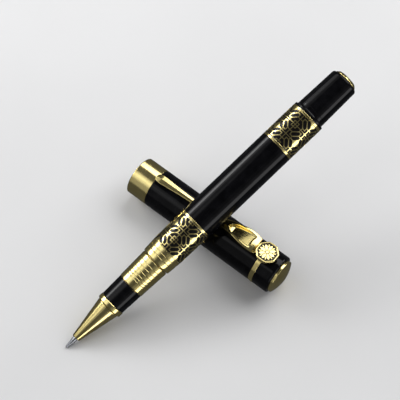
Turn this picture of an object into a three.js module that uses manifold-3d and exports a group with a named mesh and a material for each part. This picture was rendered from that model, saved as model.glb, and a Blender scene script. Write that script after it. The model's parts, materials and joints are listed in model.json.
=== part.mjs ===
// Rollerball pen lying uncapped across its own cap.
// Millimetres, +Z up. The cap lies along X with its mouth towards -X; the pen leans on the cap's clip.

import * as THREE from 'three';
import { mergeVertices } from 'three/addons/utils/BufferGeometryUtils.js';
import Module from 'manifold-3d';

const wasm = await Module();
wasm.setup();

// ---- Driving dimensions ----

const BARREL_RADIUS = 6.0;
const CAP_RADIUS = 6.79;
const CLIP_RING_RADIUS = 6.87;
const REFILL_RADIUS = 3.0;
const BALL_RADIUS = 0.35;
const POINT_RIM_RADIUS = 0.43;
const POINT_RIM = 0.24;

// Places along the pen, measured from the front of the ball.
const NOSE_FRONT = 4.42;
const NOSE_BACK = 18.9;
const SLEEVE_FRONT = 20.85;
const GRIP_FRONT = 28.75;
const GRIP_BACK = 39.6;
const BUSH_FRONT = 39.8;
const FRONT_BAND = 45.0;
const FRONT_RING = 57.1;
const BARREL_FRONT = 58.0;
const BARREL_BACK = 93.3;
const REAR_BAND = 94.2;
const REAR_RING = 106.1;
const SHOULDER = 107.0;
const TAIL_FRONT = 109.6;
const TAIL_BACK = 123.75;
const PEN_LENGTH = 124.9;
const REFILL_BACK = 109.9;

// Places along the cap, measured from its mouth.
const BAND_BACK = 7.8;
const RING_FRONT = 51.4;
const RING_BACK = 53.0;
const CAP_END_BACK = 58.8;
const CAP_LENGTH = 61.1;
const RIVET_PLACE = 52.2;
const MEDALLION_PLACE = 52.95;
const MEDALLION_WIDTH = 7.5;
const MEDALLION_TOP = 9.25;
const MEDALLION_UNDERSIDE = 7.95;

// How the two lie together.
const CROSSING_ON_CAP = 30.96;
const CROSSING_ON_PEN = 64.97;
const PEN_HEADING = THREE.MathUtils.degToRad(79.22);
const PEN_TILT = THREE.MathUtils.degToRad(18.78);
const CLIP_ANGLE = THREE.MathUtils.degToRad(4.5);

const LACQUER_WALL = 0.52;
const SEAM = 0.06;
const GROOVE_DEPTH = 0.1;
const GROOVE_HALF_WIDTH = 0.13;
const SIDES = 24;
const FINE_SIDES = 12;

const FINISHES = {
  gold: { color: 0xd8bc68, roughness: 0.25, metalness: 1 },
  brass: { color: 0xb08d3c, roughness: 0.4, metalness: 1 },
  aluminium: { color: 0xc4c6c9, roughness: 0.4, metalness: 1 },
  black_lacquer: { color: 0x0a0a0c, roughness: 0.1, metalness: 0 },
  steel: { color: 0xb9bbc0, roughness: 0.3, metalness: 1 },
  refill_plastic: { color: 0xe4e2da, roughness: 0.45, metalness: 0 },
  liner_plastic: { color: 0x1b1b1d, roughness: 0.5, metalness: 0 },
  ink_fibre: { color: 0x1a1c3c, roughness: 0.9, metalness: 0 },
};

// ---- Building blocks ----

function namedMesh(name, finish, geometry) {
  const mesh = new THREE.Mesh(geometry, new THREE.MeshStandardMaterial(FINISHES[finish]));
  mesh.name = name;
  return mesh;
}

// A turned piece. Its outline is a closed list of [place along the axis, radius] points,
// which runs out at the front, back along the outside and home along the inside.
function turned(name, finish, outline, sides = SIDES) {
  const points = outline.map(([place, radius]) => new THREE.Vector2(radius, place));
  const onAxis = outline[0][1] === 0;
  if (!onAxis) points.push(points[0].clone());
  return namedMesh(name, finish, new THREE.LatheGeometry(points, sides));
}

function ring(name, finish, front, back, inner, outer, rounding) {
  return turned(name, finish, [
    [front, inner],
    [front, outer - rounding],
    [front + rounding, outer],
    [back - rounding, outer],
    [back, outer - rounding],
    [back, inner],
  ]);
}

function straightTube(name, finish, front, back, inner, outer) {
  return turned(name, finish, [[front, inner], [front, outer], [back, outer], [back, inner]]);
}

// Fine turned grooves in a straight taper that runs from [place, radius] to [place, radius].
function grooves([frontPlace, frontRadius], [backPlace, backRadius], places) {
  const slope = (backRadius - frontRadius) / (backPlace - frontPlace);
  const radiusAt = (place) => frontRadius + slope * (place - frontPlace);
  return places.flatMap((place) => [
    [place - GROOVE_HALF_WIDTH, radiusAt(place - GROOVE_HALF_WIDTH)],
    [place, radiusAt(place) - GROOVE_DEPTH],
    [place + GROOVE_HALF_WIDTH, radiusAt(place + GROOVE_HALF_WIDTH)],
  ]);
}

function arcPoints(centre, radius, fromAngle, toAngle, steps) {
  return Array.from({ length: steps + 1 }, (_, i) => {
    const angle = fromAngle + ((toAngle - fromAngle) * i) / steps;
    return [centre[0] + radius * Math.sin(angle), centre[1] + radius * Math.cos(angle)];
  });
}

function toManifold(geometry) {
  const bare = geometry.clone();
  bare.deleteAttribute('normal');
  bare.deleteAttribute('uv');
  const merged = mergeVertices(bare, 1e-4);
  return new wasm.Manifold(new wasm.Mesh({
    numProp: 3,
    vertProperties: new Float32Array(merged.attributes.position.array),
    triVerts: new Uint32Array(merged.index.array),
  }));
}

function fromManifold(solid) {
  const mesh = solid.getMesh();
  const geometry = new THREE.BufferGeometry();
  geometry.setAttribute('position', new THREE.BufferAttribute(mesh.vertProperties, 3));
  geometry.setIndex(new THREE.BufferAttribute(mesh.triVerts, 1));
  return geometry;
}

// Groups whose pieces were turned about Y are laid along X here.
function laidAlongX(...pieces) {
  const group = new THREE.Group();
  group.rotation.z = -Math.PI / 2;
  group.add(...pieces);
  return group;
}

// ---- Refill ----

const SHANK_RADIUS = 0.9;
const SHANK_BACK = 9.0;
const ROD_HOLE = 0.42;
const REFILL_TUBE_FRONT = 15.75;
const REFILL_TUBE_BACK = REFILL_BACK - 0.85;
const REFILL_SPIGOT = REFILL_RADIUS - 0.38;

function writingBall() {
  const ball = namedMesh('ball', 'steel', new THREE.SphereGeometry(BALL_RADIUS, FINE_SIDES, 8));
  ball.position.y = BALL_RADIUS;
  return ball;
}

function refillPoint() {
  const socketRadius = BALL_RADIUS + 0.035;
  const socketBack = 0.78;
  const inkHole = 0.15;
  const rodSeat = 2.5;
  const coneBack = 4.13;
  return turned('refill_point', 'steel', [
    [POINT_RIM, socketRadius], [POINT_RIM, POINT_RIM_RADIUS], [0.93, 0.5], [coneBack, SHANK_RADIUS],
    [SHANK_BACK, SHANK_RADIUS], [SHANK_BACK, ROD_HOLE], [rodSeat, ROD_HOLE], [rodSeat, inkHole],
    [socketBack, inkHole], [socketBack, socketRadius],
  ], FINE_SIDES);
}

function refillNose() {
  const front = SHANK_BACK - 1.5;
  const socket = SHANK_RADIUS + 0.07;
  const shoulder = REFILL_TUBE_FRONT - 0.35;
  const back = REFILL_TUBE_FRONT + 2.75;
  return turned('refill_nose', 'refill_plastic', [
    [front, socket], [front, 1.05], [SHANK_BACK, 1.3], [shoulder, 2.2],
    [REFILL_TUBE_FRONT, REFILL_SPIGOT], [back, REFILL_SPIGOT], [back, ROD_HOLE],
    [SHANK_BACK + 0.2, ROD_HOLE], [SHANK_BACK + 0.2, socket],
  ]);
}

function solidRod(name, front, back, radius, sides) {
  return turned(name, 'ink_fibre', [[front, 0], [front, radius], [back, radius], [back, 0]], sides);
}

function refillPlug() {
  const front = REFILL_BACK - 4.9;
  const collar = REFILL_TUBE_BACK + SEAM;
  return turned('refill_plug', 'refill_plastic', [
    [front, 0], [front, REFILL_SPIGOT], [collar, REFILL_SPIGOT],
    [collar, REFILL_RADIUS], [REFILL_BACK, REFILL_RADIUS], [REFILL_BACK, 0],
  ]);
}

function refillPieces() {
  return [
    refillPoint(),
    refillNose(),
    solidRod('feed_rod', 3.0, 18.6, 0.3, FINE_SIDES),
    straightTube('refill_tube', 'refill_plastic', REFILL_TUBE_FRONT, REFILL_TUBE_BACK, 2.7, REFILL_RADIUS),
    solidRod('ink_reservoir', 18.8, 104, 2.5),
    refillPlug(),
  ];
}

// ---- Grip section ----

const SECTION_BORE = 3.14;
const SPIGOT_RADIUS = 3.5;
const SPIGOT_BACK = 24.8;
const CORE_RADIUS = 3.98;
const THREAD_RADIUS = 4.5;
const GRIP_RINGS = [31.3, 32.2, 33.3, 34.7, 36.2, 37.7];

function noseCone() {
  const pointHole = 1.05;
  const refillSeat = REFILL_TUBE_FRONT - 0.15;
  return turned('nose_cone', 'gold', [
    [NOSE_FRONT, pointHole], [NOSE_FRONT, 1.33], [NOSE_FRONT + 0.1, 1.43],
    [NOSE_BACK - 0.2, 4.13], [NOSE_BACK, 4.0], [NOSE_BACK, SPIGOT_RADIUS],
    [SPIGOT_BACK, SPIGOT_RADIUS], [SPIGOT_BACK, SECTION_BORE],
    [refillSeat, SECTION_BORE], [refillSeat, 2.55], [NOSE_FRONT + 0.88, pointHole],
  ]);
}

// The brass tube inside the section, with the thread for the barrel behind the grip.
function sectionCore() {
  const front = SLEEVE_FRONT + 0.15;
  const socket = SPIGOT_RADIUS + 0.08;
  const socketBack = SPIGOT_BACK + 0.3;
  const neck = GRIP_BACK + 0.1;
  const neckRadius = THREAD_RADIUS - 0.3;
  const threadBack = 47.6;
  const back = threadBack + 0.4;
  return turned('section_core', 'brass', [
    [front, socket], [front, CORE_RADIUS], [neck, CORE_RADIUS],
    [neck, neckRadius], [neck + 0.8, neckRadius],
    [neck + 1.1, THREAD_RADIUS], [threadBack, THREAD_RADIUS], [back, THREAD_RADIUS - 0.4],
    [back, SECTION_BORE], [socketBack, SECTION_BORE], [socketBack, socket],
  ]);
}

function sectionGrip() {
  const lip = [GRIP_FRONT + 0.2, 4.84];
  const heel = [GRIP_BACK - 0.2, 5.18];
  const bore = CORE_RADIUS + 0.07;
  return turned('section_grip', 'gold', [
    [GRIP_FRONT, bore], [GRIP_FRONT, 4.62], lip, ...grooves(lip, heel, GRIP_RINGS), heel,
    [GRIP_BACK, 5.0], [GRIP_BACK, bore],
  ]);
}

function sectionPieces() {
  const bore = CORE_RADIUS + 0.07;
  return [
    noseCone(),
    ring('nose_ring', 'gold', NOSE_BACK + 0.08, SLEEVE_FRONT - 0.08, SPIGOT_RADIUS + 0.08, 4.68, 0.2),
    turned('section_sleeve', 'black_lacquer', [
      [SLEEVE_FRONT, bore], [SLEEVE_FRONT, 4.5], [GRIP_FRONT - 0.12, 4.72], [GRIP_FRONT - 0.12, bore],
    ]),
    sectionCore(),
    sectionGrip(),
  ];
}

// ---- Barrel ----

const BUSH_BORE = 4.72;
const BUSH_SPIGOT = 5.08;
const BARREL_CORE_BORE = 5.15;
const SHELL_BORE = BARREL_RADIUS - LACQUER_WALL;
const LATTICE_WALL = 0.15;
const FRONT_TAPER = 0.15;
const BUSH_RINGS = [41.9, 43.4];
const TAIL_END_RADIUS = 5.03;
const TAIL_PLUG_FRONT = 118.7;
const TAIL_PLUG_BACK = 123.1;

function barrelBush() {
  const lip = [BUSH_FRONT + 0.3, 5.48];
  const heel = [FRONT_BAND - SEAM, BARREL_RADIUS - FRONT_TAPER - 0.04];
  const back = FRONT_BAND + 7;
  return turned('barrel_bush', 'gold', [
    [BUSH_FRONT, BUSH_BORE], [BUSH_FRONT, 5.25], lip, ...grooves(lip, heel, BUSH_RINGS), heel,
    [FRONT_BAND - SEAM, BUSH_SPIGOT], [back, BUSH_SPIGOT], [back, BUSH_BORE],
  ]);
}

// A black band and the gold fretwork sleeve over it; the front pair tapers slightly.
function decoratedBand(place, front, back, taper) {
  const skin = BARREL_RADIUS - LATTICE_WALL;
  const bandRadius = skin - 0.04;
  return [
    turned(`${place}_band`, 'black_lacquer', [
      [front + SEAM, SHELL_BORE], [front + SEAM, bandRadius - taper],
      [back - SEAM, bandRadius], [back - SEAM, SHELL_BORE],
    ]),
    turned(`${place}_lattice`, 'gold', [
      [front + SEAM, skin - taper], [front + SEAM, BARREL_RADIUS - taper],
      [back - SEAM, BARREL_RADIUS], [back - SEAM, skin],
    ]),
  ];
}

function trimRing(name, front, back) {
  return ring(name, 'gold', front + SEAM / 2, back - SEAM / 2, SHELL_BORE, BARREL_RADIUS, 0.08);
}

// The step down to the tail, hollowed out by a small fillet.
function shoulderRing() {
  const outer = BARREL_RADIUS - 0.04;
  const fillet = 0.62;
  const crest = SHOULDER + 0.8;
  const coreSeat = SHOULDER + 1;
  return turned('shoulder_ring', 'black_lacquer', [
    [SHOULDER + SEAM, SHELL_BORE], [SHOULDER + SEAM, outer],
    ...arcPoints([crest + fillet, outer], fillet, -Math.PI / 2, -Math.PI, 4),
    [TAIL_FRONT - SEAM, 5.35], [TAIL_FRONT - SEAM, BARREL_CORE_BORE],
    [coreSeat, BARREL_CORE_BORE], [coreSeat, SHELL_BORE],
  ]);
}

function tailTube() {
  const front = 100;
  const bore = 4.3;
  const stemHole = 1.5;
  const endWall = 0.6;
  const edge = 0.75;
  const cornerCentre = [TAIL_BACK - edge, TAIL_END_RADIUS - edge];
  return turned('tail_tube', 'black_lacquer', [
    [front, bore], [front, BUSH_SPIGOT], [TAIL_FRONT, BUSH_SPIGOT], [TAIL_FRONT, 5.32],
    ...arcPoints(cornerCentre, edge, 0, Math.PI / 2, 4),
    [TAIL_BACK, stemHole], [TAIL_BACK - endWall, stemHole], [TAIL_BACK - endWall, bore],
  ]);
}

function endDisc() {
  const stemFront = TAIL_PLUG_FRONT + 0.5;
  const stemRadius = 1.0;
  const front = TAIL_BACK + 0.1;
  return turned('end_disc', 'gold', [
    [stemFront, 0], [stemFront, stemRadius], [front, stemRadius], [front, 4.05], [front + 0.1, 4.15],
    [front + 0.25, 4.15], [PEN_LENGTH - 0.15, 3.45], [PEN_LENGTH, 3.2], [PEN_LENGTH, 0],
  ]);
}

function barrelPieces() {
  return [
    barrelBush(),
    straightTube(
      'barrel_core', 'aluminium', FRONT_BAND + SEAM, SHOULDER + 0.9, BARREL_CORE_BORE, SHELL_BORE - SEAM,
    ),
    ...decoratedBand('front', FRONT_BAND, FRONT_RING, FRONT_TAPER),
    trimRing('front_ring', FRONT_RING, BARREL_FRONT),
    straightTube('barrel_tube', 'black_lacquer', BARREL_FRONT, BARREL_BACK, SHELL_BORE, BARREL_RADIUS),
    trimRing('rear_ring_front', BARREL_BACK, REAR_BAND),
    ...decoratedBand('rear', REAR_BAND, REAR_RING, 0),
    trimRing('rear_ring_back', REAR_RING, SHOULDER),
    shoulderRing(),
    tailTube(),
    straightTube('tail_plug', 'liner_plastic', TAIL_PLUG_FRONT, TAIL_PLUG_BACK, 1.12, 4.22),
    endDisc(),
  ];
}

// ---- Refill spring ----

class Helix extends THREE.Curve {
  constructor(radius, front, back, turns) {
    super();
    Object.assign(this, { radius, front, back, turns });
  }

  getPoint(t, target = new THREE.Vector3()) {
    const angle = 2 * Math.PI * this.turns * t;
    const place = this.front + (this.back - this.front) * t;
    return target.set(this.radius * Math.cos(angle), place, this.radius * Math.sin(angle));
  }
}

function refillSpring() {
  const wireRadius = 0.25;
  const turns = 5;
  const path = new Helix(2.3, REFILL_BACK + 0.6, TAIL_PLUG_FRONT - 0.4, turns);
  const section = new THREE.Shape().absarc(0, 0, wireRadius, 0, 2 * Math.PI);
  const geometry = new THREE.ExtrudeGeometry(section, {
    steps: 10 * turns, curveSegments: 3, extrudePath: path,
  });
  return namedMesh('refill_spring', 'steel', geometry);
}

// ---- Cap ----

const CAP_BORE = 6.05;
const TUBE_END_RADIUS = 6.3;
const LINER_RADIUS = 5.98;
const LINER_BACK = 49.2;
const SCREW_RADIUS = 1.5;
const SCREW_FRONT = 47.9;
const SCREW_SEAT = 56.1;
const DISC_SEAT_RADIUS = 5.3;
const DISC_SEAT = 57.3;

// The band wraps the end of the cap's tube, and its lip hides the tube's edge.
function mouthBand() {
  const mouth = CAP_BORE - 0.03;
  const lip = 1.0;
  const tubeSeat = TUBE_END_RADIUS + 0.06;
  return turned('mouth_band', 'gold', [
    [0, mouth], [0, CAP_RADIUS - 0.19], [0.18, CAP_RADIUS], [BAND_BACK - SEAM, CAP_RADIUS],
    [BAND_BACK - SEAM, tubeSeat], [lip, tubeSeat], [lip, mouth],
  ]);
}

function capTube() {
  return turned('cap_tube', 'black_lacquer', [
    [1.1, CAP_BORE], [1.1, TUBE_END_RADIUS], [BAND_BACK, TUBE_END_RADIUS], [BAND_BACK, CAP_RADIUS],
    [RING_FRONT - SEAM, CAP_RADIUS], [RING_FRONT - SEAM, CAP_BORE],
  ]);
}

// The liner grips the section at its wide mouth and closes over the point at its far end.
function innerCap() {
  const front = 12.0;
  const wideBore = 5.35;
  const narrowBore = 4.78;
  const floor = 46.8;
  const screwHole = SCREW_RADIUS + 0.12;
  const screwHoleFront = SCREW_FRONT - 0.1;
  return turned('inner_cap', 'liner_plastic', [
    [floor, 0], [floor, narrowBore], [24.5, narrowBore], [23.5, wideBore], [front, wideBore],
    [front, LINER_RADIUS], [LINER_BACK, LINER_RADIUS], [LINER_BACK, screwHole],
    [screwHoleFront, screwHole], [screwHoleFront, 0],
  ]);
}

// The end piece: a spigot for the clip's ring, and seats for the screw and the disc.
function capEnd() {
  const front = LINER_BACK + 0.2;
  const spigot = 5.85;
  const shoulder = RING_BACK + SEAM;
  const edge = 0.7;
  const cornerCentre = [CAP_END_BACK - edge, CAP_RADIUS - edge];
  const screwHole = SCREW_RADIUS + 0.15;
  const headSeat = 3.4;
  return turned('cap_end', 'black_lacquer', [
    [front, screwHole], [front, spigot], [shoulder, spigot], [shoulder, CAP_RADIUS],
    ...arcPoints(cornerCentre, edge, 0, Math.PI / 2, 4),
    [CAP_END_BACK, DISC_SEAT_RADIUS], [DISC_SEAT, DISC_SEAT_RADIUS],
    [DISC_SEAT, headSeat], [SCREW_SEAT, headSeat], [SCREW_SEAT, screwHole],
  ]);
}

function capDome() {
  const rim = 5.9;
  const plugRadius = DISC_SEAT_RADIUS - 0.08;
  const plugFront = DISC_SEAT + 0.1;
  const rimFront = CAP_END_BACK + SEAM;
  const rimBack = CAP_END_BACK + 0.85;
  const height = CAP_LENGTH - rimBack;
  const domeRadius = (rim * rim + height * height) / (2 * height);
  const spread = Math.asin(rim / domeRadius);
  const domeCentre = [CAP_LENGTH - domeRadius, 0];
  const dome = arcPoints(domeCentre, domeRadius, Math.PI / 2 - spread, Math.PI / 2, 5);
  dome[dome.length - 1] = [CAP_LENGTH, 0];
  return turned('cap_dome', 'gold', [
    [plugFront, 0], [plugFront, plugRadius], [rimFront, plugRadius], [rimFront, rim], ...dome,
  ]);
}

function capScrew() {
  const head = 3.2;
  const headFront = SCREW_SEAT + 0.1;
  const headBack = DISC_SEAT - 0.1;
  return turned('cap_screw', 'steel', [
    [SCREW_FRONT, 0], [SCREW_FRONT, SCREW_RADIUS], [headFront, SCREW_RADIUS],
    [headFront, head], [headBack, head], [headBack, 0],
  ]);
}

function capPieces() {
  return [
    mouthBand(),
    capTube(),
    innerCap(),
    ring('clip_ring', 'gold', RING_FRONT, RING_BACK, 5.95, CLIP_RING_RADIUS, 0.1),
    capEnd(),
    capDome(),
    capScrew(),
  ];
}

// ---- Clip and medallion ----
// These stand on the cap: X along the cap, Y across it, Z outwards from the cap's axis.

// Stations along the clip: place, half width, underside, edge height, middle height.
// From its tip it narrows to a ridged stem, then widens and rises into a dished hood.
// Behind the hood, a low tab runs under the medallion.
const CLIP_STATIONS = [
  [7.3, 0.9, 6.97, 7.15, 7.2],
  [7.8, 1.4, 6.95, 7.2, 7.35],
  [9.0, 1.7, 6.95, 7.3, 7.6],
  [13.3, 1.4, 7.05, 7.45, 7.75],
  [18.0, 1.05, 7.15, 7.65, 7.9],
  [22.0, 0.9, 7.2, 7.72, 7.94],
  [30.0, 0.9, 7.2, 7.72, 7.94],
  [33.0, 1.2, 7.2, 7.8, 7.98],
  [36.0, 1.75, 7.3, 8.6, 8.7],
  [38.0, 2.15, 7.5, 9.1, 9.1],
  [40.0, 2.5, 7.7, 9.4, 9.25],
  [42.0, 3.0, 7.8, 9.5, 9.25],
  [44.5, 3.4, 7.75, 9.35, 9.1],
  [46.3, 3.42, 7.6, 9.05, 8.95],
  [47.4, 3.3, 7.4, 8.85, 9.1],
  [48.85, 3.1, 7.1, 8.55, 9.0],
  [48.9, 2.6, 7.0, 7.55, 7.55],
  [53.8, 1.9, 7.0, 7.55, 7.55],
];
const UNDERCUT = 0.85;

// A box with one slice per station, whose corners are moved to the stations' measures.
// The sides lean in towards the underside.
function clipBody() {
  const slices = CLIP_STATIONS.length - 1;
  const geometry = new THREE.BoxGeometry(1, 1, 1, slices, 4, 1);
  const corners = geometry.attributes.position;
  for (let i = 0; i < corners.count; i++) {
    const station = CLIP_STATIONS[Math.round((corners.getX(i) + 0.5) * slices)];
    const [place, halfWidth, underside, edge, middle] = station;
    const across = corners.getY(i) * 2;
    const onTop = corners.getZ(i) > 0;
    const top = middle + (edge - middle) * Math.abs(across);
    const reach = onTop ? halfWidth : halfWidth * UNDERCUT;
    corners.setXYZ(i, place, across * reach, onTop ? top : underside);
  }
  return geometry;
}

function uprightPin(radius, bottom, top) {
  const pin = new THREE.CylinderGeometry(radius, radius, top - bottom, FINE_SIDES);
  pin.rotateX(Math.PI / 2);
  pin.translate(RIVET_PLACE, 0, (bottom + top) / 2);
  return pin;
}

function clipArm() {
  const rivetHole = uprightPin(0.9, 6.5, 8.5);
  return namedMesh('clip_arm', 'gold', fromManifold(
    toManifold(clipBody()).subtract(toManifold(rivetHole)),
  ));
}

function octagonPlate(width, bottom, top) {
  const outerRadius = width / 2 / Math.cos(Math.PI / 8);
  const turn = Math.PI / 8;
  const plate = new THREE.CylinderGeometry(outerRadius, outerRadius, top - bottom, 8, 1, false, turn);
  plate.rotateX(Math.PI / 2);
  plate.translate(MEDALLION_PLACE, 0, (bottom + top) / 2);
  return plate;
}

function medallion() {
  const rim = 0.5;
  const dish = octagonPlate(MEDALLION_WIDTH - 2 * rim, MEDALLION_TOP - 0.35, MEDALLION_TOP + 1);
  const plate = octagonPlate(MEDALLION_WIDTH, MEDALLION_UNDERSIDE, MEDALLION_TOP);
  return namedMesh('medallion', 'gold', fromManifold(toManifold(plate).subtract(toManifold(dish))));
}

function clipPieces() {
  const group = new THREE.Group();
  group.rotation.x = -CLIP_ANGLE;
  group.add(clipArm());
  group.add(medallion());
  group.add(namedMesh('medallion_rivet', 'steel', uprightPin(0.62, 6.97, MEDALLION_UNDERSIDE - 0.05)));
  return group;
}

// ---- The arrangement ----

// The cap rests on its clip ring, which stands proud of the tube.
function placedCap() {
  const cap = new THREE.Group();
  cap.add(laidAlongX(...capPieces()), clipPieces());
  cap.position.z = CLIP_RING_RADIUS;
  return cap;
}

// The rim of the refill's point touches the ground, and the barrel crosses over the cap.
function placedPen() {
  const pen = new THREE.Group();
  pen.add(laidAlongX(
    writingBall(), ...refillPieces(), ...sectionPieces(), ...barrelPieces(), refillSpring(),
  ));
  pen.rotation.order = 'ZYX';
  pen.rotation.set(0, -PEN_TILT, PEN_HEADING);
  const reach = CROSSING_ON_PEN * Math.cos(PEN_TILT);
  pen.position.set(
    CROSSING_ON_CAP - reach * Math.cos(PEN_HEADING),
    -reach * Math.sin(PEN_HEADING),
    POINT_RIM_RADIUS * Math.cos(PEN_TILT) - POINT_RIM * Math.sin(PEN_TILT),
  );
  return pen;
}

// The origin is the middle of the arrangement's footprint, on the ground.
function centredOnGround(...groups) {
  const whole = new THREE.Group();
  whole.add(...groups);
  whole.updateMatrixWorld(true);
  const box = new THREE.Box3().setFromObject(whole, true);
  const middle = box.getCenter(new THREE.Vector3());
  whole.position.set(-middle.x, -middle.y, -box.min.z);
  return whole;
}

export default centredOnGround(placedCap(), placedPen());
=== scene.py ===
"""Looks for a rollerball pen that lies uncapped across its cap. Metres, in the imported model's frame."""
import json
import math
from collections import defaultdict

import bpy
import numpy as np
from mathutils import Matrix, Vector
from mathutils.geometry import delaunay_2d_cdt


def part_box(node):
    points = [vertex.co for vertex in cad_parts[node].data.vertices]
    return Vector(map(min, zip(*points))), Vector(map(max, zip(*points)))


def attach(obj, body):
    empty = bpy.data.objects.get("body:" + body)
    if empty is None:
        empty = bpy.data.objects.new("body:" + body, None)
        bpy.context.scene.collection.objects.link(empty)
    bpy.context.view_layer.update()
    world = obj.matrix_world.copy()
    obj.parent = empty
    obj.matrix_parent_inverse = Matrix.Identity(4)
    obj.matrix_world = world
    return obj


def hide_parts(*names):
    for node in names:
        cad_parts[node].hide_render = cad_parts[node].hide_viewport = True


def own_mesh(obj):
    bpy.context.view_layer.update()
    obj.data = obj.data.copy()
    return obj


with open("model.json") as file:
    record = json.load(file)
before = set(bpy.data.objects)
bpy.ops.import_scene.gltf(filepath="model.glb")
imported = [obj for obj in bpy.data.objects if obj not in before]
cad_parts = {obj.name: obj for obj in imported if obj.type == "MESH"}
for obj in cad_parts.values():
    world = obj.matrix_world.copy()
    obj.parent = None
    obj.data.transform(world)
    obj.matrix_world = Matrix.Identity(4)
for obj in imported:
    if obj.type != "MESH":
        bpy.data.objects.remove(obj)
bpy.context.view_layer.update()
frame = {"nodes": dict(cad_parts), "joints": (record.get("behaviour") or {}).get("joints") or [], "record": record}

MM = 0.001
TURN = 2 * math.pi

# Outlines and places below are in millimetres, along the pen from the front of its ball,
# or along the cap from its mouth.

# A turned outline keeps its turns below GENTLE_TURN. Those above SHARP_TURN are rounded, and those
# between are drawn out softly, over at most CORNER_SHARE of the stretch on either side. SUPPORT is
# how far from its ends a long stretch gets the points that keep it flat. CREASE is the angle from
# which an edge is shaded sharp.
SIDES = 144
ON_AXIS = 1e-6
SUPPORT = 0.05
CORNER_STEPS = 5
CORNER_SHARE = 0.45
GENTLE_TURN = math.radians(2)
SHARP_TURN = math.radians(35)
CREASE = math.radians(50)

# ---- Where the pen, the cap and the clip are ----

RECORD = frame["record"]
JOINTS = {joint["name"]: joint for joint in frame["joints"]}
BODY_OF = {node: body for body, nodes in RECORD["behaviour"]["bodies"].items() for node in nodes}
SLOT_OF = {part["node"]: part["material_slot"] for part in RECORD["subparts"]}


def frame_at(origin, x, y, z):
    return Matrix.Translation(origin) @ Matrix((x, y, z)).transposed().to_4x4()


def turning_frame(origin, along, up=Vector((0, 0, 1))):
    """Z runs along the turned pieces' axis, and Y points as far up as it can."""
    z = Vector(along).normalized()
    y = (up - z * z.dot(up)).normalized()
    return frame_at(origin, y.cross(z), y, z)


def pen_frame():
    low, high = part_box("ball")
    axis = Vector(JOINTS["barrel_turn"]["axis"]).normalized()
    ball_centre = Vector(JOINTS["barrel_turn"]["pos_m"])
    return turning_frame(ball_centre - axis * (high.x - low.x) / 2, axis)


def cap_frame():
    low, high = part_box("mouth_band")
    middle = (low + high) / 2
    return turning_frame((low.x, middle.y, middle.z), (1, 0, 0))


def clip_frame():
    """X along the cap, Y across the clip, Z outwards from the cap's axis."""
    along = Vector((1, 0, 0))
    across = Vector(JOINTS["clip_flex"]["axis"]).normalized()
    return frame_at(cap_frame().translation, along, across, along.cross(across))


PEN = pen_frame()
CAP = cap_frame()
CLIP = clip_frame()

# ---- The photograph's view ----

LOOK_AT_FROM_MOUTH = Vector((22.14, 5.01, 8.08)) * MM
CAMERA_AZIMUTH = math.radians(36.72)
CAMERA_ELEVATION = math.radians(62.94)
CAMERA_ROLL = math.radians(2.07)
CAMERA_DISTANCE = 0.39975
LENS = 107.6


def camera_frame():
    mouth = CAP.translation
    target = Vector((mouth.x, mouth.y, 0)) + LOOK_AT_FROM_MOUTH
    back = Vector((
        math.sin(CAMERA_AZIMUTH) * math.cos(CAMERA_ELEVATION),
        -math.cos(CAMERA_AZIMUTH) * math.cos(CAMERA_ELEVATION),
        math.sin(CAMERA_ELEVATION),
    ))
    level = Vector((0, 0, 1)).cross(back).normalized()
    upright = back.cross(level)
    right = level * math.cos(CAMERA_ROLL) + upright * math.sin(CAMERA_ROLL)
    return frame_at(target + back * CAMERA_DISTANCE, right, back.cross(right), back)


def add_camera():
    data = bpy.data.cameras.new("camera")
    data.lens = LENS
    data.clip_start = 0.01
    camera = bpy.data.objects.new("camera", data)
    camera.matrix_world = camera_frame()
    bpy.context.scene.collection.objects.link(camera)
    bpy.context.scene.camera = camera


# ---- Materials ----


class Look:
    """A Principled material with a few helpers for procedural detail."""

    def __init__(self, name, **settings):
        self.material = bpy.data.materials.new(name)
        self.material.use_nodes = True
        self.nodes = self.material.node_tree.nodes
        self.links = self.material.node_tree.links
        self.shader = self.nodes["Principled BSDF"]
        self.coordinates = self.nodes.new("ShaderNodeTexCoord").outputs["Object"]
        for key, value in settings.items():
            self.shader.inputs[key.replace("_", " ")].default_value = value

    def link(self, source, target):
        self.links.new(source, target)

    def stretched(self, scale):
        mapping = self.nodes.new("ShaderNodeMapping")
        mapping.inputs["Scale"].default_value = scale
        self.link(self.coordinates, mapping.inputs["Vector"])
        return mapping.outputs["Vector"]

    def noise(self, per_mm, stretch=(1, 1, 1), detail=3.0):
        node = self.nodes.new("ShaderNodeTexNoise")
        node.inputs["Scale"].default_value = per_mm / MM
        node.inputs["Detail"].default_value = detail
        self.link(self.stretched(stretch), node.inputs["Vector"])
        return node.outputs["Fac"]

    def colour(self, factor, dark, light):
        """A colour that runs from dark to light over the middle of the factor's range."""
        node = self.nodes.new("ShaderNodeValToRGB")
        first, last = node.color_ramp.elements
        first.position, first.color = 0.35, dark
        last.position, last.color = 0.65, light
        self.link(factor, node.inputs["Fac"])
        self.link(node.outputs["Color"], self.shader.inputs["Base Color"])

    def roughness(self, factor, low, high):
        """A roughness that runs from low to high over the middle of the factor's range."""
        node = self.nodes.new("ShaderNodeMapRange")
        node.inputs["From Min"].default_value = 0.3
        node.inputs["From Max"].default_value = 0.7
        node.inputs["To Min"].default_value = low
        node.inputs["To Max"].default_value = high
        self.link(factor, node.inputs["Value"])
        self.link(node.outputs["Result"], self.shader.inputs["Roughness"])

    def bump(self, height, depth):
        """Relief of a given depth, in millimetres."""
        node = self.nodes.new("ShaderNodeBump")
        node.inputs["Distance"].default_value = depth * MM
        node.inputs["Strength"].default_value = 1.0
        self.link(height, node.inputs["Height"])
        self.link(node.outputs["Normal"], self.shader.inputs["Normal"])


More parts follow.
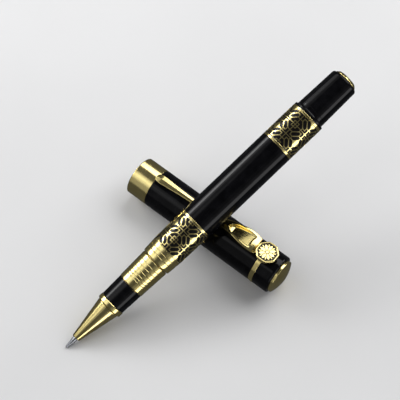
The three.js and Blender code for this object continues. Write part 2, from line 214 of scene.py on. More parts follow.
def plated_gold(name, low_roughness, high_roughness, marks_depth, grain=(1, 1, 1)):
    """Pale gold plating, slightly uneven in tone. The grain squeezes its fine marks along an axis."""
    look = Look(name, Metallic=1.0)
    look.colour(look.noise(0.25), (0.74, 0.61, 0.25, 1), (0.82, 0.69, 0.30, 1))
    marks = look.noise(0.35, stretch=grain, detail=4)
    look.roughness(marks, low_roughness, high_roughness)
    look.bump(marks, marks_depth)
    return look.material


def black_lacquer():
    """Deep black lacquer with a faint ripple and a few duller patches from handling."""
    look = Look("black_lacquer", IOR=1.25)
    tone = look.noise(0.4)
    look.colour(tone, (0.0015, 0.0015, 0.002, 1), (0.004, 0.004, 0.005, 1))
    look.roughness(look.noise(0.12, detail=5), 0.06, 0.13)
    look.bump(look.noise(0.9, detail=1), 0.0006)
    return look.material


def black_enamel():
    """The sunk black ground under the fretwork, slightly pebbled. In the medallion it paints the shade of the
    recess.
    """
    look = Look("black_enamel", IOR=1.27)
    look.colour(look.noise(2), (0.004, 0.004, 0.004, 1), (0.010, 0.009, 0.008, 1))
    look.roughness(look.noise(3), 0.15, 0.28)
    look.bump(look.noise(5, detail=2), 0.006)
    return look.material


def turned_metal(name, dark, light, low_roughness, high_roughness):
    """Bare metal with fine rings from the lathe."""
    look = Look(name, Metallic=1.0)
    rings = look.noise(0.5, stretch=(1, 1, 30), detail=4)
    look.colour(rings, dark, light)
    look.roughness(rings, low_roughness, high_roughness)
    look.bump(rings, 0.004)
    return look.material


def moulded_plastic(name, dark, light, low_roughness, high_roughness):
    """Plastic with the fine grain of its mould."""
    look = Look(name, IOR=1.47)
    look.colour(look.noise(0.5), dark, light)
    look.roughness(look.noise(2.5), low_roughness, high_roughness)
    look.bump(look.noise(6, detail=2), 0.003)
    return look.material


def ink_fibre():
    """Bonded fibres that run lengthwise, wet with blue-black ink."""
    look = Look("ink_fibre", IOR=1.35)
    strands = look.noise(4, stretch=(1, 1, 0.05), detail=3)
    look.colour(strands, (0.004, 0.005, 0.03, 1), (0.03, 0.035, 0.12, 1))
    look.roughness(strands, 0.55, 0.85)
    look.bump(strands, 0.05)
    return look.material


def floor_paint():
    """The studio floor: matt, pale and almost even."""
    look = Look("pale_floor")
    look.colour(look.noise(0.01), (0.70, 0.70, 0.705, 1), (0.73, 0.73, 0.735, 1))
    look.roughness(look.noise(0.05), 0.75, 0.85)
    return look.material


TURNED_GRAIN = (1, 1, 22)

MATERIALS = {
    "gold": plated_gold("gold", 0.13, 0.20, 0.0008),
    "turned_gold": plated_gold("turned_gold", 0.13, 0.22, 0.0012, TURNED_GRAIN),
    "black_lacquer": black_lacquer(),
    "black_enamel": black_enamel(),
    "brass": turned_metal("brass", (0.50, 0.34, 0.12, 1), (0.66, 0.48, 0.19, 1), 0.25, 0.42),
    "aluminium": turned_metal("aluminium", (0.55, 0.56, 0.57, 1), (0.70, 0.71, 0.72, 1), 0.3, 0.45),
    "steel": turned_metal("steel", (0.24, 0.25, 0.27, 1), (0.38, 0.39, 0.42, 1), 0.16, 0.28),
    "refill_plastic": moulded_plastic(
        "refill_plastic", (0.70, 0.69, 0.65, 1), (0.78, 0.77, 0.73, 1), 0.35, 0.5),
    "liner_plastic": moulded_plastic(
        "liner_plastic", (0.012, 0.012, 0.013, 1), (0.022, 0.022, 0.024, 1), 0.38, 0.55),
    "ink_fibre": ink_fibre(),
}

# ---- Turned pieces ----


def outline_of(node, place):
    """A turned CAD node's outline, as [along, radius] points in order, from the axis if it meets it."""
    mesh = frame["nodes"][node].data
    to_place = place.inverted()
    near = 0.002
    spots = {}
    for vertex in mesh.vertices:
        point = (to_place @ vertex.co) / MM
        if abs(point.x) < near and point.y > -near:
            spots[vertex.index] = (round(point.z, 3), round(max(point.y, 0), 3))
    links = defaultdict(set)
    for edge in mesh.edges:
        first, second = (spots.get(index) for index in edge.vertices)
        if first and second and first != second:
            links[first].add(second)
            links[second].add(first)
    ends = [spot for spot, others in links.items() if len(others) == 1]
    current = min(ends or links)
    outline = [current]
    while True:
        onward = [spot for spot in links[current] if spot not in outline]
        if not onward:
            return outline
        current = min(onward)
        outline.append(current)


def span_of(node, place):
    """A turned CAD node's front, back and largest radius."""
    outline = outline_of(node, place)
    places = [along for along, _ in outline]
    return min(places), max(places), max(radius for _, radius in outline)


def corner_arc(before, corner, after, reach):
    """Points of a small curve that stands in for a corner."""
    to_before, to_after = before - corner, after - corner
    start = corner + to_before.normalized() * min(reach, CORNER_SHARE * to_before.length)
    end = corner + to_after.normalized() * min(reach, CORNER_SHARE * to_after.length)
    shares = [i / CORNER_STEPS for i in range(CORNER_STEPS + 1)]
    return [start.lerp(corner, share).lerp(corner.lerp(end, share), share) for share in shares]


def eased(outline, edge=0.1, soft=0.6):
    """The outline with sharp corners rounded by edge and gentle ones drawn out by up to soft."""
    points = [Vector(point) for point in outline]
    closed = points[0].y > 0
    result = []
    for i, corner in enumerate(points):
        before, after = points[i - 1], points[(i + 1) % len(points)]
        if not closed and i in (0, len(points) - 1):
            result.append(corner)
            continue
        turn = math.pi - (before - corner).angle(after - corner)
        if turn < GENTLE_TURN:
            result.append(corner)
        else:
            result += corner_arc(before, corner, after, edge if turn > SHARP_TURN else soft)
    return result


def supported(outline):
    """The outline with extra points near the ends of long stretches, so that they shade flat."""
    closed = outline[0].y > 0
    result = []
    for i, point in enumerate(outline):
        result.append(point)
        if i + 1 == len(outline) and not closed:
            break
        step = outline[(i + 1) % len(outline)] - point
        if step.length > 4 * SUPPORT:
            along = step.normalized() * SUPPORT
            result += [point + along, point + step - along]
    return result


def spin(outline, sides=SIDES, relief=None):
    """Vertices and faces of an outline spun about Z. relief(along, radius, angle) adds to radii."""
    rows, vertices, faces = [], [], []
    for along, radius in outline:
        if radius < ON_AXIS:
            rows.append([len(vertices)] * sides)
            vertices.append((0, 0, along * MM))
            continue
        rows.append(range(len(vertices), len(vertices) + sides))
        for k in range(sides):
            angle = TURN * k / sides
            out = radius + (relief(along, radius, angle) if relief else 0)
            vertices.append((out * MM * math.sin(angle), out * MM * math.cos(angle), along * MM))
    closed = outline[0][1] > ON_AXIS
    for low, high in zip(rows, rows[1:] + (rows[:1] if closed else [])):
        for k in range(sides):
            after = (k + 1) % sides
            corners = dict.fromkeys((low[k], low[after], high[after], high[k]))
            if len(corners) > 2:
                faces.append(tuple(corners))
    return vertices, faces


def signed_volume(vertices, faces):
    """Below zero if the faces look inwards."""
    points = np.array(vertices)
    triangles = np.array([(f[0], f[i], f[i + 1]) for f in faces for i in range(1, len(f) - 1)])
    a, b, c = (points[triangles[:, i]] for i in range(3))
    return np.einsum("ij,ij->", a, np.cross(b, c)) / 6


def add_piece(name, vertices, faces, place, material, body, slot, stands_for=()):
    """A smooth mesh, in millimetre detail at a place, that rides on a body."""
    if signed_volume(vertices, faces) < 0:
        faces = [face[::-1] for face in faces]
    mesh = bpy.data.meshes.new(name)
    mesh.from_pydata(vertices, [], faces)
    mesh.shade_smooth()
    mesh.set_sharp_from_angle(angle=CREASE)
    mesh.materials.append(MATERIALS[material])
    piece = bpy.data.objects.new(name, mesh)
    bpy.context.scene.collection.objects.link(piece)
    piece.matrix_world = place
    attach(piece, body)
    if stands_for:
        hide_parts(*stands_for)
    return piece


def stand_in(node, vertices, faces, place, material=None):
    """A fine piece that takes a CAD node's place and body, in its slot's material unless given another."""
    slot = SLOT_OF[node]
    return add_piece(
        node + "_fine", vertices, faces, place, material or slot, BODY_OF[node], slot, [node])


def turned_stand_in(node, place, material=None, edge=0.1, soft=0.6, sides=SIDES):
    """A turned CAD node again, finely, with its corners eased."""
    outline = supported(eased(outline_of(node, place), edge, soft))
    stand_in(node, *spin(outline, sides), place, material)


# ---- Thread ----

THREAD_PITCH = JOINTS["barrel_travel"]["range_m"][1] / MM / (
    JOINTS["barrel_turn"]["range_deg"][1] / 360)
THREAD_DEPTH = 0.28
POINTS_PER_PITCH = 10


def threaded_core():
    """The section's brass core, with its right-handed thread cut as a helix."""
    outline = outline_of("section_core", PEN)
    radius = max(radius for _, radius in outline)
    threaded = [along for along, out in outline if out == radius]
    front, last = min(threaded), max(threaded)
    step = THREAD_PITCH / POINTS_PER_PITCH
    fine_places = np.arange(front + step, last, step)

    def relief(along, out, angle):
        if out < radius or not front < along < last:
            return 0
        phase = (along / THREAD_PITCH - angle / TURN) % 1
        run_out = min(1, (along - front) / (THREAD_PITCH / 2), (last - along) / (THREAD_PITCH / 2))
        return -THREAD_DEPTH * run_out * abs(2 * phase - 1)

    dense = []
    for i, point in enumerate(outline):
        dense.append(point)
        onward = outline[(i + 1) % len(outline)]
        if point[1] == onward[1] == radius:
            places = fine_places if onward[0] > point[0] else fine_places[::-1]
            dense += [(along, radius) for along in places]
    stand_in("section_core", *spin(dense, SIDES, relief), PEN)


# ---- Flat fretwork ----

# Points nearer than SAME_POINT become one, and keys are whole steps, KEYS_PER_MM to the millimetre.
# MITRE_LIMIT keeps the corners of a ribbon from running out too far.
MITRE_LIMIT = 0.3
SAME_POINT = 1e-5
KEYS_PER_MM = 1e4


def clipped(polygon, axis, limit, keep_above):
    """A convex polygon cut off by the line where coordinate axis equals limit."""
    sign = 1 if keep_above else -1
    result = []
    for i, point in enumerate(polygon):
        onward = polygon[(i + 1) % len(polygon)]
        inside, inside_next = sign * (point[axis] - limit), sign * (onward[axis] - limit)
        if inside >= 0:
            result.append(point)
        if inside * inside_next < 0:
            result.append(point.lerp(onward, inside / (inside - inside_next)))
    return result


def bar(start, end, width):
    """A straight stroke that runs half its width past both ends."""
    start, end = Vector(start), Vector(end)
    along = (end - start).normalized() * width / 2
    side = Vector((-along.y, along.x))
    return [start - along - side, end + along - side, end + along + side, start - along + side]


def ribbon(points, width):
    """Mitred quads that follow a closed line."""
    points = [Vector(point) for point in points]
    inner, outer = [], []
    for i, point in enumerate(points):
        before = (point - points[i - 1]).normalized()
        after = (points[(i + 1) % len(points)] - point).normalized()
        normal = Vector((-(before + after).y, (before + after).x)).normalized()
        across = Vector((-before.y, before.x))
        mitre = normal * width / 2 / max(MITRE_LIMIT, normal.dot(across))
        inner.append(point + mitre)
        outer.append(point - mitre)
    count = len(points)
    return [[outer[i], outer[(i + 1) % count], inner[(i + 1) % count], inner[i]] for i in range(count)]


def counter_clockwise(polygon):
    area = sum(p.x * q.y - q.x * p.y for p, q in zip(polygon, polygon[1:] + polygon[:1]))
    return polygon if area > 0 else polygon[::-1]


def joined_flat(polygons, cuts=()):
    """The union of flat convex polygons, as points and triangles, divided along the cuts as well."""
    points, faces, edges = [], [], []
    for polygon in polygons:
        faces.append(list(range(len(points), len(points) + len(polygon))))
        points += counter_clockwise(polygon)
    for start, end in cuts:
        edges.append((len(points), len(points) + 1))
        points += [Vector(start), Vector(end)]
    corners, _, triangles, _, _, covering = delaunay_2d_cdt(points, edges, faces, 0, SAME_POINT, True)
    return corners, [triangle for triangle, sources in zip(triangles, covering) if sources]


def thickened(triangles, key_of, lower, upper):
    """A closed solid over flat triangles. key_of gives equal keys to corners that meet, so that
    seams join up. lower and upper give a key's place on the under and the upper side."""
    keyed = [tuple(key_of(corner) for corner in triangle) for triangle in triangles]
    keyed = [triangle for triangle in keyed if len(set(triangle)) == 3]
    index = {key: i for i, key in enumerate(dict.fromkeys(k for t in keyed for k in t))}
    vertices = [upper(key) for key in index] + [lower(key) for key in index]
    count = len(index)
    faces, rim = [], {}
    for triangle in keyed:
        a, b, c = (index[key] for key in triangle)
        faces += [(a, b, c), (c + count, b + count, a + count)]
        for edge in ((a, b), (b, c), (c, a)):
            if edge[::-1] in rim:
                del rim[edge[::-1]]
            else:
                rim[edge] = True
    faces += [(b, a, a + count, b + count) for a, b in rim]
    return vertices, faces


# ---- Lattice bands ----

# The gold fretwork is LATTICE_DEPTH thick and stands GROUND_GAP clear of the black band. It is
# drawn flat and wrapped round the pen in facets. A SQUARE or a DIAMOND sits on every second
# crossing.
LATTICE_ROWS = 8
LATTICE_COLUMNS = 3
LATTICE_LENGTH = 12.25
HEXAGON_STROKE = 0.31
AXIS_STROKE = 0.27
SQUARE = [(-0.9, -0.9), (0.9, -0.9), (0.9, 0.9), (-0.9, 0.9)]
DIAMOND = [(-1.55, 0), (0, -1.55), (1.55, 0), (0, 1.55)]
LATTICE_DEPTH = 0.07
GROUND_GAP = 0.004
BAND_EDGE = 0.02
ROW_TURN_FROM_CAMERA = math.radians(9.5)
FACET = math.radians(3)


def lattice_strokes(column, row, odd):
    """Strokes of one tile: rows -1 to 2, and every column. Plain crossings and filled ones
    alternate like a chessboard. The filled ones are squares in even rows and diamonds in odd ones."""
    strokes = []
    columns, rows = range(LATTICE_COLUMNS + 1), range(-1, 3)

    def plain(i, j):
        return (i + j) % 2 == odd

    for i in columns:
        strokes.append(bar((i * column, -1.5 * row), (i * column, 2.5 * row), AXIS_STROKE))
    for j in rows:
        strokes.append(bar((0, j * row), (LATTICE_COLUMNS * column, j * row), AXIS_STROKE))
    for i in columns:
        for j in rows:
            if plain(i, j):
                continue
            centre = Vector((i * column, j * row))
            if j % 2 == 0:
                strokes += ribbon([centre + Vector(corner) for corner in SQUARE], AXIS_STROKE)
            else:
                strokes.append([centre + Vector(corner) for corner in DIAMOND])
    for i in columns[:-1]:
        for j in rows[:-1]:
            strokes += lattice_cell(i * column, j * row, column, row, plain(i, j))
    return strokes


def lattice_cell(p, q, column, row, rising):
    """A long hexagon on the diagonal between two plain crossings, tied to the lines round it."""
    near, far, low, high = 0.75, 1.75, 1.05, 2.1
    hexagon = [
        (near, low), (far, low), (column - near, row - high),
        (column - near, row - low), (column - far, row - low), (near, high),
    ]
    ties = [
        ((far, low), (far, 0)), ((near, high), (0, high)),
        ((column - near, row - high), (column, row - high)),
        ((column - far, row - low), (column - far, row)),
    ]

    def placed(point):
        x, y = point
        return Vector((p + x, q + (y if rising else row - y)))

    strokes = ribbon([placed(point) for point in hexagon], HEXAGON_STROKE)
    return strokes + [bar(placed(a), placed(b), AXIS_STROKE) for a, b in ties]


def camera_side_angle(along):
    """The angle round the pen, from its Y towards its X, that faces the camera."""
    seen = PEN.inverted() @ camera_frame().translation - Vector((0, 0, along * MM))
    return math.atan2(seen.x, seen.y)


def lattice_band(place_name, first_column, odd):
    """The black band and the gold fretwork over it, in place of two CAD nodes.

    first_column is the place of the pattern's first crossings, and odd says whether the plain
    crossings there are in the odd rows."""
    node = place_name + "_lattice"
    outline = outline_of(node, PEN)
    front, back, radius = span_of(node, PEN)
    front_radius = max(r for along, r in outline if along == front)
    bore = min(r for _, r in outline_of(place_name + "_band", PEN))
    circumference = TURN * radius
    row = circumference / LATTICE_ROWS
    column = LATTICE_LENGTH / LATTICE_COLUMNS
    phase = camera_side_angle((front + back) / 2) + ROW_TURN_FROM_CAMERA

    low_q, high_q = -row / 2, 1.5 * row
    strokes = []
    for stroke in lattice_strokes(column, row, odd):
        for axis, limit, above in (
            (0, front - first_column, True), (0, back - first_column, False),
            (1, low_q, True), (1, high_q, False),
        ):
            stroke = clipped(stroke, axis, limit, above) if stroke else stroke
        if len(stroke) > 2:
            strokes.append(stroke)
    facet = radius * FACET
    cuts = [
        ((front - first_column - 1, q), (back - first_column + 1, q))
        for q in np.arange(low_q + facet, high_q - facet / 2, facet)
    ]
    points, triangles = joined_flat(strokes, cuts)
    repeats = LATTICE_ROWS // 2
    tiled = [
        [(points[index].x, points[index].y + 2 * row * repeat) for index in triangle]
        for repeat in range(repeats) for triangle in triangles
    ]

    def key_of(corner):
        p, q = corner
        around = round((q % circumference) * KEYS_PER_MM) % round(circumference * KEYS_PER_MM)
        return round(p * KEYS_PER_MM), around

    def surface(key, depth):
        along = first_column + key[0] / KEYS_PER_MM
        share = (along - front) / (back - front)
        out = (front_radius + (radius - front_radius) * share - depth) * MM
        angle = phase - key[1] / KEYS_PER_MM / radius
        return out * math.sin(angle), out * math.cos(angle), along * MM

    vertices, faces = thickened(
        tiled, key_of, lambda key: surface(key, LATTICE_DEPTH), lambda key: surface(key, 0))
    stand_in(node, vertices, faces, PEN, "gold")
    ground = LATTICE_DEPTH + GROUND_GAP
    band = [(front, bore), (front, front_radius - ground), (back, radius - ground), (back, bore)]
    fine = supported(eased(band, BAND_EDGE))
    stand_in(place_name + "_band", *spin(fine), PEN, "black_enamel")


# ---- Clip ----

HOOD_START = 36.5
HOOD_CROWN = 0.25
HOOD_WALL = 0.6
STEM_FADE = 2
RIDGE_ROUNDING = 0.001
EDGE_BEVEL = 0.1
BEVEL_SHARE = 0.2
BEVEL_CUT = 0.3
BELLY_POWER = 4
CLIP_SLICES = 260
TOP_POINTS = 49
UNDERSIDE_POINTS = 9
SMOOTHING_REACH = 0.9
SMOOTHING_SAMPLES = 13
TIP_LENGTH = 0.4
TIP_NARROWING = 0.75
TAB_STEP = 0.04

# The hood's dish. Its floor and its rim both start in a rounded end, and its back ends in an arc
# round the medallion. DISH_FLOOR is the floor's outline along the clip, as (place, height over
# the cap's axis).
DISH_FLOOR_START = 38.3
DISH_RIM_START = 37.8
DISH_START_LENGTH = 2.6
DISH_FLOOR_SHARE = 0.62
DISH_RIM_SHARE = 0.76
DISH_BACK_RADIUS = 5.9
DISH_WALL = 0.4
DISH_FLOOR = [(37.8, 8.3), (39.5, 8.05), (47.4, 9.0)]
THINNEST_WALL = 0.05


def clip_stations():
    """Rows of place, half width, underside, edge height and middle height along the CAD clip.

    Only the clip's full slices count, which leaves out the rivet hole's corners."""
    to_clip = CLIP.inverted()
    near = 0.01
    corners_of_slice = 10
    slices = defaultdict(list)
    for vertex in frame["nodes"]["clip_arm"].data.vertices:
        point = (to_clip @ vertex.co) / MM
        slices[round(point.x, 2)].append(point)
    stations = []
    for place, points in sorted(slices.items()):
        half_width = max(point.y for point in points)
        middle = [point.z for point in points if abs(point.y) < near]
        edge = [point.z for point in points if point.y > half_width - near]
        if len(middle) > 1 and len(points) >= corners_of_slice:
            underside = min(point.z for point in points)
            stations.append((place, half_width, underside, max(edge), max(middle)))
    return np.array(stations)


def smoothed(places, values, fine):
    """Values along the clip with the corners between stations smoothed out over a short reach."""
    offsets = np.linspace(-SMOOTHING_REACH, SMOOTHING_REACH, SMOOTHING_SAMPLES)
    weights = np.hanning(SMOOTHING_SAMPLES + 2)[1:-1]
    samples = [np.interp(fine + offset, places, values) for offset in offsets]
    return np.average(samples, axis=0, weights=weights)


def smooth_step(value):
    """0 up to 0, 1 from 1 on, and an even rise between."""
    value = min(1, max(0, value))
    return value * value * (3 - 2 * value)


def medallion_centre():
    """In the clip's frame."""
    low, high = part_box("medallion")
    return (CLIP.inverted() @ ((low + high) / 2)) / MM


def rounded_start(place, start):
    """How far a shape with a rounded end at start has opened, from 0 to 1."""
    before_full = max(0, 1 - (place - start) / DISH_START_LENGTH)
    return math.sqrt(max(0, 1 - before_full ** 2))


def dish_share(place, y, half_width):
    """0 on the hood's rim and 1 on the dish's floor."""
    if place <= DISH_RIM_START:
        return 0
    floor = DISH_FLOOR_SHARE * half_width * rounded_start(place, DISH_FLOOR_START)
    rim = DISH_RIM_SHARE * half_width * rounded_start(place, DISH_RIM_START)
    across = smooth_step((rim - abs(y)) / max(THINNEST_WALL, rim - floor))
    end = medallion_centre().x - math.sqrt(DISH_BACK_RADIUS ** 2 - y * y)
    return across * smooth_step((end - place) / DISH_WALL)


def clip_top(place, y, half_width, edge, middle, floor):
    """The height of the upper face: a ridge along the stem, then a crowned hood with its dish."""
    across = abs(y) / half_width
    stem = smooth_step((HOOD_START - place) / STEM_FADE)
    ridge = stem * max(0, middle - edge) * (1 - math.sqrt(across ** 2 + RIDGE_ROUNDING))
    crown = (1 - stem) * max(HOOD_CROWN, middle - edge) * (1 - across ** 2)
    height = edge + ridge + crown
    share = dish_share(place, y, half_width)
    return height - (height - floor) * share


def clip_section(place, half_width, underside, edge, middle, floor):
    """One closed slice through the clip, as (across, out) points. Its underside bellies down
    between two thin edges."""
    bevel = min(EDGE_BEVEL, half_width * BEVEL_SHARE)
    reach = half_width - bevel
    top = [
        (y, clip_top(place, y, half_width, edge, middle, floor))
        for y in np.linspace(-reach, reach, TOP_POINTS)
    ]
    edge_foot = max(underside, edge - HOOD_WALL)
    right = [
        (half_width - bevel * BEVEL_CUT, edge - bevel * BEVEL_CUT), (half_width, edge - bevel),
        (half_width, edge_foot + bevel), (half_width - bevel, edge_foot),
    ]
    left = [(-y, z) for y, z in reversed(right)]
    bottom = [
        (y, underside + (edge_foot - underside) * (y / reach) ** BELLY_POWER)
        for y in np.linspace(reach, -reach, UNDERSIDE_POINTS + 2)[1:-1]
    ]
    return top + right + bottom + left


def skinned(slices):
    """Vertices and faces of a body that runs through closed slices of equally many points."""
    count = len(slices[0])
    vertices = [tuple(c * MM for c in point) for points in slices for point in points]
    faces = [tuple(range(count)), tuple(range(len(vertices) - count, len(vertices)))[::-1]]
    for i in range(len(slices) - 1):
        for k in range(count):
            after = (k + 1) % count
            low, high = i * count, (i + 1) * count
            faces.append((low + k, high + k, high + after, low + after))
    return vertices, faces


def clip_arm():
    """The arm and hood in fine slices, and the plain tab that runs on under the medallion."""
    stations = clip_stations()
    places = stations[:, 0]
    step = np.argmax(np.diff(places) < 2 * TAB_STEP)
    arm, tab = stations[: step + 1], stations[step + 1:]
    fine = np.linspace(arm[0, 0], arm[-1, 0], CLIP_SLICES)
    half_width, underside, edge, middle = (smoothed(arm[:, 0], arm[:, k], fine) for k in range(1, 5))
    floor = np.interp(fine, *zip(*DISH_FLOOR))
    before_full = np.maximum(0, 1 - (fine - fine[0]) / TIP_LENGTH)
    half_width = half_width * np.sqrt(1 - TIP_NARROWING * before_full ** 2)
    rows = [*zip(fine, half_width, underside, edge, middle, floor)]
    for place, half_width, underside, edge, middle in tab:
        rows.append((place, half_width, underside, edge - HOOD_CROWN, middle - HOOD_CROWN, edge))
    slices = [[(row[0], y, z) for y, z in clip_section(*row)] for row in rows]
    stand_in("clip_arm", *skinned(slices), CLIP, "gold")


# ---- Medallion ----


def rounded_octagon(apothem, rounding, steps=6):
    """Points round an octagon with softened corners, for a given distance from centre to side."""
    points = []
    corner_reach = (apothem - rounding) / math.cos(math.pi / 8)
    for k in range(8):
        centre = math.pi / 8 + k * math.pi / 4
        hub = Vector((math.cos(centre), math.sin(centre))) * corner_reach
        for i in range(steps + 1):
            angle = centre - math.pi / 8 + math.pi / 4 * i / steps
            points.append(hub + Vector((math.cos(angle), math.sin(angle))) * rounding)
    return points


def disc(radius, corners=24):
    angles = [TURN * k / corners for k in range(corners)]
    return [Vector((math.cos(angle), math.sin(angle))) * radius for angle in angles]


def petal(turn, start, end, half_width, steps=10):
    """The outline of one pointed petal of the rosette."""
    side = [
        (start + (end - start) * i / steps, half_width * math.sin(math.pi * i / steps) ** PETAL_POWER)
        for i in range(steps + 1)
    ]
    outline = side + [(r, -w) for r, w in reversed(side[1:-1])]
    cos, sin = math.cos(turn), math.sin(turn)
    return [Vector((r * cos - w * sin, r * sin + w * cos)) for r, w in outline]


ROSETTE_PETALS = 8
PETAL_SPAN = (0.6, 2.8)
PETAL_HALF_WIDTH = 0.5
PETAL_POWER = 0.8
ROSETTE_HUB = 0.5
SHORT_STROKE_SPAN = (2.05, 2.65)
SHORT_STROKE_WIDTH = 0.3
CORNER_ROUNDING = 1.5
RIM_WIDTH = 0.65

# The badge's outline, as (inset from its flat sides, height over its bottom) at the foot and as
# (inset, depth below its top) at the rim.
MEDALLION_FOOT = [(0.3, 0), (0.08, 0.06), (0, 0.25)]
MEDALLION_RIM = [
    (0, 0.3), (0.06, 0.12), (0.2, 0.02), (0.32, 0), (0.45, 0.01), (0.55, 0.06), (0.62, 0.15),
]

# The dark field is painted shade: a thin black sheet that lies MEDALLION_FIELD_DEPTH below the rim, over the gold
# recess. Its upper face stays FIELD_GAP away from the gold below and beside it, and the rosette floats a SLIT
# above it.
MEDALLION_FIELD_DEPTH = 0.3
FIELD_THICKNESS = 0.015
FIELD_ROUNDING = 0.8
FIELD_GAP = 0.02
ROSETTE_BELOW_RIM = 0.08
SLIT = 0.002


def rosette_strokes():
    """Pointed petals round a hub, with a short stroke between each two of them."""
    strokes = [disc(ROSETTE_HUB)]
    for k in range(ROSETTE_PETALS):
        turn = TURN * k / ROSETTE_PETALS
        strokes.append(petal(turn, *PETAL_SPAN, PETAL_HALF_WIDTH))
        between = turn + math.pi / ROSETTE_PETALS
        ray = Vector((math.cos(between), math.sin(between)))
        strokes.append(bar(*(ray * reach for reach in SHORT_STROKE_SPAN), SHORT_STROKE_WIDTH))
    return strokes


def upright_slab(name, flat_polygons, bottom, top, material):
    """A flat cut-out over the medallion's centre, from one height to another."""
    centre = medallion_centre()
    points, triangles = joined_flat(flat_polygons)
    flat = [[points[index] for index in triangle] for triangle in triangles]

    def key_of(corner):
        return round(corner.x * KEYS_PER_MM), round(corner.y * KEYS_PER_MM)

    def at_height(height):
        return lambda key: (
            (centre.x + key[0] / KEYS_PER_MM) * MM, key[1] / KEYS_PER_MM * MM, height * MM)

    vertices, faces = thickened(flat, key_of, at_height(bottom), at_height(top))
    add_piece(name, vertices, faces, CLIP, material, BODY_OF["medallion"], SLOT_OF["medallion"])


def medallion():
    """An eight-sided badge: a broad raised rim round a sunk field with a plain rosette; the field is a black sheet
    of painted shade.
    """
    to_clip = CLIP.inverted()
    corners = [(to_clip @ v.co) / MM for v in frame["nodes"]["medallion"].data.vertices]
    bottom, top = min(c.z for c in corners), max(c.z for c in corners)
    centre = medallion_centre()
    apothem = max(c.x for c in corners) - centre.x
    field = top - MEDALLION_FIELD_DEPTH
    levels = [(inset, bottom + height) for inset, height in MEDALLION_FOOT]
    levels += [(inset, top - depth) for inset, depth in MEDALLION_RIM]
    levels.append((RIM_WIDTH, field - FIELD_GAP))
    slices = [
        [
            (centre.x + point.x, point.y, height)
            for point in rounded_octagon(apothem - inset, CORNER_ROUNDING - inset)
        ]
        for inset, height in levels
    ]
    stand_in("medallion", *skinned(slices), CLIP, "gold")
    # Painted shade: the recess gets a thin black sheet; the black_enamel material here paints shade, not enamel.
    ground = rounded_octagon(apothem - RIM_WIDTH - FIELD_GAP, FIELD_ROUNDING)
    upright_slab("medallion_painted_shade", [ground], field - FIELD_THICKNESS, field, "black_enamel")
    upright_slab(
        "medallion_rosette", rosette_strokes(), field + SLIT, top - ROSETTE_BELOW_RIM, "gold")


# ---- Spring ----

WIRE_RADIUS = 0.25
SPRING_TURNS = 5
SPRING_STEPS = 240
WIRE_SIDES = 12


def refill_spring():
    """The wire spring at rest, wound as a helix over the CAD spring's length, with a mesh of its own."""
    to_pen = PEN.inverted()
    points = np.array([(to_pen @ v.co) / MM for v in frame["nodes"]["refill_spring"].data.vertices])
    front, back = points[:, 2].min() + WIRE_RADIUS, points[:, 2].max() - WIRE_RADIUS
    coil = np.hypot(points[:, 0], points[:, 1]).max() - WIRE_RADIUS
    rise = (back - front) / (TURN * SPRING_TURNS)
    spots = [TURN * k / WIRE_SIDES for k in range(WIRE_SIDES)]
    slices = []
    for i in range(SPRING_STEPS + 1):
        share = i / SPRING_STEPS
        angle = TURN * SPRING_TURNS * share
        cos, sin = math.cos(angle), math.sin(angle)
        centre = Vector((coil * cos, coil * sin, front + (back - front) * share))
        outward = Vector((cos, sin, 0))
        across = Vector((-coil * sin, coil * cos, rise)).normalized().cross(outward)
        slices.append([
            centre + WIRE_RADIUS * (outward * math.cos(spot) + across * math.sin(spot))
            for spot in spots
        ])
    spring = stand_in("refill_spring", *skinned(slices), PEN)
    shortening = JOINTS["refill_press"]["range_m"][1] / MM
    JOINTS["refill_press"]["axis"]
    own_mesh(spring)


# ---- Floor and light ----

WORLD_STRENGTH = 0.09
FLOOR_REACH = 1.5
LIGHTS_AIM = Vector((0, 0, 0.02))


def add_floor():
    """A pale floor that the gold and the lacquer don't mirror."""
    mesh = bpy.data.meshes.new("floor")
    corners = [(x, y, 0) for x, y in ((-1, -1), (1, -1), (1, 1), (-1, 1))]
    mesh.from_pydata([Vector(corner) * FLOOR_REACH for corner in corners], [], [(0, 1, 2, 3)])
    mesh.materials.append(floor_paint())
    floor = bpy.data.objects.new("floor", mesh)
    bpy.context.scene.collection.objects.link(floor)
    floor.visible_glossy = False


def add_softbox(name, azimuth, elevation, distance, width, height, radiance):
    """A soft panel that looks at the object. Azimuth 0 is along +X, and 90 along +Y."""
    turn, rise = math.radians(azimuth), math.radians(elevation)
    towards = Vector((
        math.cos(turn) * math.cos(rise), math.sin(turn) * math.cos(rise), math.sin(rise)))
    data = bpy.data.lights.new(name, "AREA")
    data.shape = "RECTANGLE"
    data.size, data.size_y = width, height
    data.energy = radiance * width * height * math.pi
    light = bpy.data.objects.new(name, data)
    level = Vector((0, 0, 1)).cross(towards).normalized()
    light.matrix_world = frame_at(
        LIGHTS_AIM + towards * distance, level, towards.cross(level), towards)
    light.visible_camera = False
    bpy.context.scene.collection.objects.link(light)


# Name, azimuth, elevation, distance, width, height and radiance of each panel.
# The key panels nest, and so do the right ones, so that their reflections fade out upwards.
SOFTBOXES = [
    ("key_core", 187, 29, 0.66, 0.42, 0.15, 8.0),
    ("key_middle", 184, 30, 0.70, 0.6, 0.42, 1.3),
    ("key_halo", 192, 38, 0.74, 0.8, 0.72, 0.5),
    ("back_softbox", 81, 45, 0.80, 0.88, 0.52, 3.5),
    ("tail_light", 74, 17, 0.80, 0.42, 0.22, 5.0),
    ("front_high", -132, 50, 0.90, 0.4, 0.6, 0.75),
    ("front_low", -113, 34, 0.94, 0.5, 1.0, 0.3),
    ("right_low", -15, 0, 0.78, 1.0, 0.3, 2.6),
    ("right_middle", -17, 10, 0.81, 1.0, 0.5, 0.25),
    ("right_high", -20, 22, 0.84, 1.0, 0.75, 0.12),
]


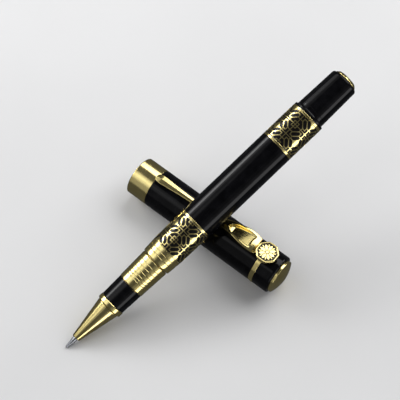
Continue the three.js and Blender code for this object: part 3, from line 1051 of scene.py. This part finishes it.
def add_lights():
    """A dim even surround and the softboxes."""
    world = bpy.data.worlds.new("world")
    world.use_nodes = True
    background = world.node_tree.nodes["Background"]
    background.inputs["Color"].default_value = (0.95, 0.97, 1.0, 1)
    background.inputs["Strength"].default_value = WORLD_STRENGTH
    bpy.context.scene.world = world
    for softbox in SOFTBOXES:
        add_softbox(*softbox)


# ---- Put it together ----

REAR_FIRST_COLUMN = span_of("rear_ring_back", PEN)[0] - LATTICE_LENGTH
FRONT_FIRST_COLUMN = span_of("front_lattice", PEN)[0]

GOLD_TURNINGS = [
    ("nose_cone", PEN), ("nose_ring", PEN), ("section_grip", PEN), ("barrel_bush", PEN),
    ("front_ring", PEN), ("rear_ring_front", PEN), ("rear_ring_back", PEN),
    ("mouth_band", CAP), ("clip_ring", CAP), ("cap_dome", CAP),
]
OTHER_TURNINGS = [
    ("section_sleeve", PEN), ("barrel_tube", PEN), ("shoulder_ring", PEN), ("tail_tube", PEN),
    ("cap_tube", CAP), ("cap_end", CAP), ("inner_cap", CAP), ("cap_screw", CAP),
    ("refill_nose", PEN), ("refill_tube", PEN), ("refill_plug", PEN), ("ink_reservoir", PEN),
    ("feed_rod", PEN), ("barrel_core", PEN), ("tail_plug", PEN),
]


def writing_ball():
    low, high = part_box("ball")
    radius = (high.x - low.x) / 2 / MM
    rings, sides = 24, 48
    angles = [math.pi * i / rings for i in range(1, rings)]
    arc = [(radius - radius * math.cos(angle), radius * math.sin(angle)) for angle in angles]
    stand_in("ball", *spin([(0, 0), *arc, (2 * radius, 0)], sides), PEN)


def build():
    for node, place in GOLD_TURNINGS:
        turned_stand_in(node, place, "turned_gold")
    for node, place in OTHER_TURNINGS:
        turned_stand_in(node, place, edge=0.06)
    turned_stand_in("end_disc", PEN)
    turned_stand_in("refill_point", PEN, edge=0.02, soft=0.2, sides=72)
    writing_ball()
    threaded_core()
    lattice_band("front", FRONT_FIRST_COLUMN, 0)
    lattice_band("rear", REAR_FIRST_COLUMN, 1)
    clip_arm()
    medallion()
    refill_spring()
    rivet = frame["nodes"]["medallion_rivet"]
    rivet.data.materials.clear()
    rivet.data.materials.append(MATERIALS["steel"])


add_camera()
build()
add_floor()
add_lights()
bpy.context.scene.view_settings.view_transform = "Standard"
